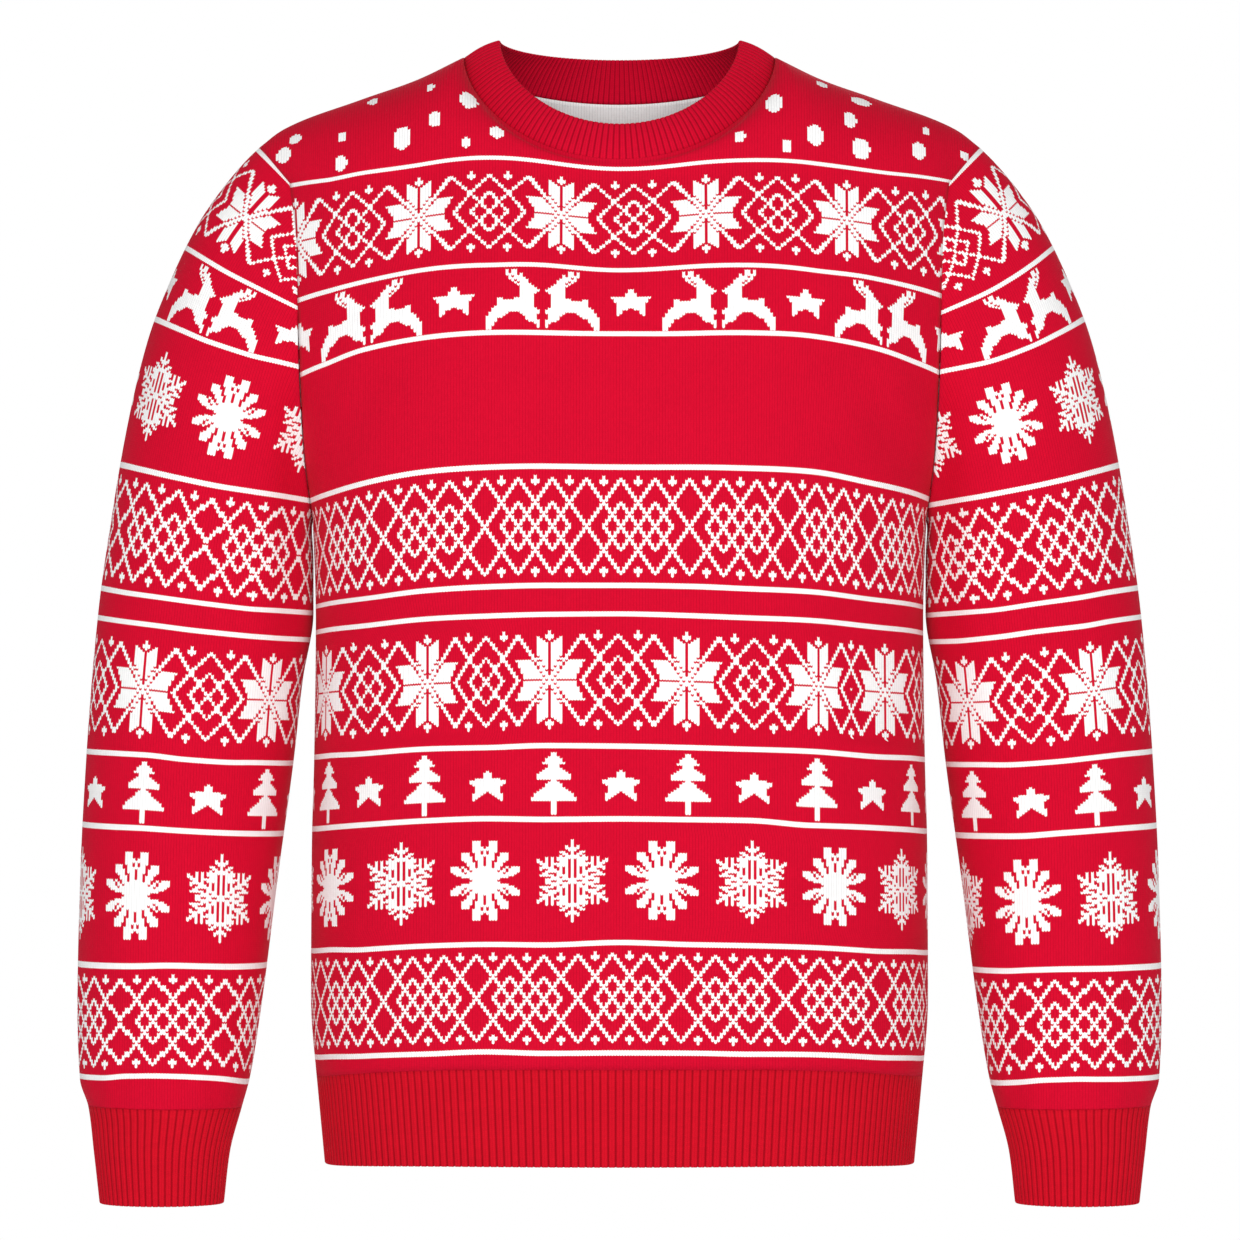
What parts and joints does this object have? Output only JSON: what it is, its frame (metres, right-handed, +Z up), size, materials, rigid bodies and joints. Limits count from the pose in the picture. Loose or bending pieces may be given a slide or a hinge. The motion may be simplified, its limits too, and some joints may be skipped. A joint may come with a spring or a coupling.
{
  "type": "christmas sweater",
  "caption": "Crew-neck knitted jumper, filled out and hollow, with long set-in sleeves, a traditional winter pattern in bands, and ribbed neckband, cuffs and hem.",
  "frame": {"origin": "centre of the neck, level with the high points of the shoulder seams, where the wearer's shoulders and neck carry the garment", "axes": "+Z up along the body; the front faces -Y; +X is the wearer's left"},
  "size_m": [0.6712, 0.2497, 0.7206],
  "materials": {
    "jacquard_knit": "matt",
    "rib_knit": "matt"
  },
  "bodies": {
    "root": {"front": "jacquard_knit", "back": "jacquard_knit", "sleeve_left": "jacquard_knit", "sleeve_right": "jacquard_knit", "neckband": "rib_knit", "hem_rib": "rib_knit", "cuff_left": "rib_knit", "cuff_right": "rib_knit"}
  },
  "joints": []
}
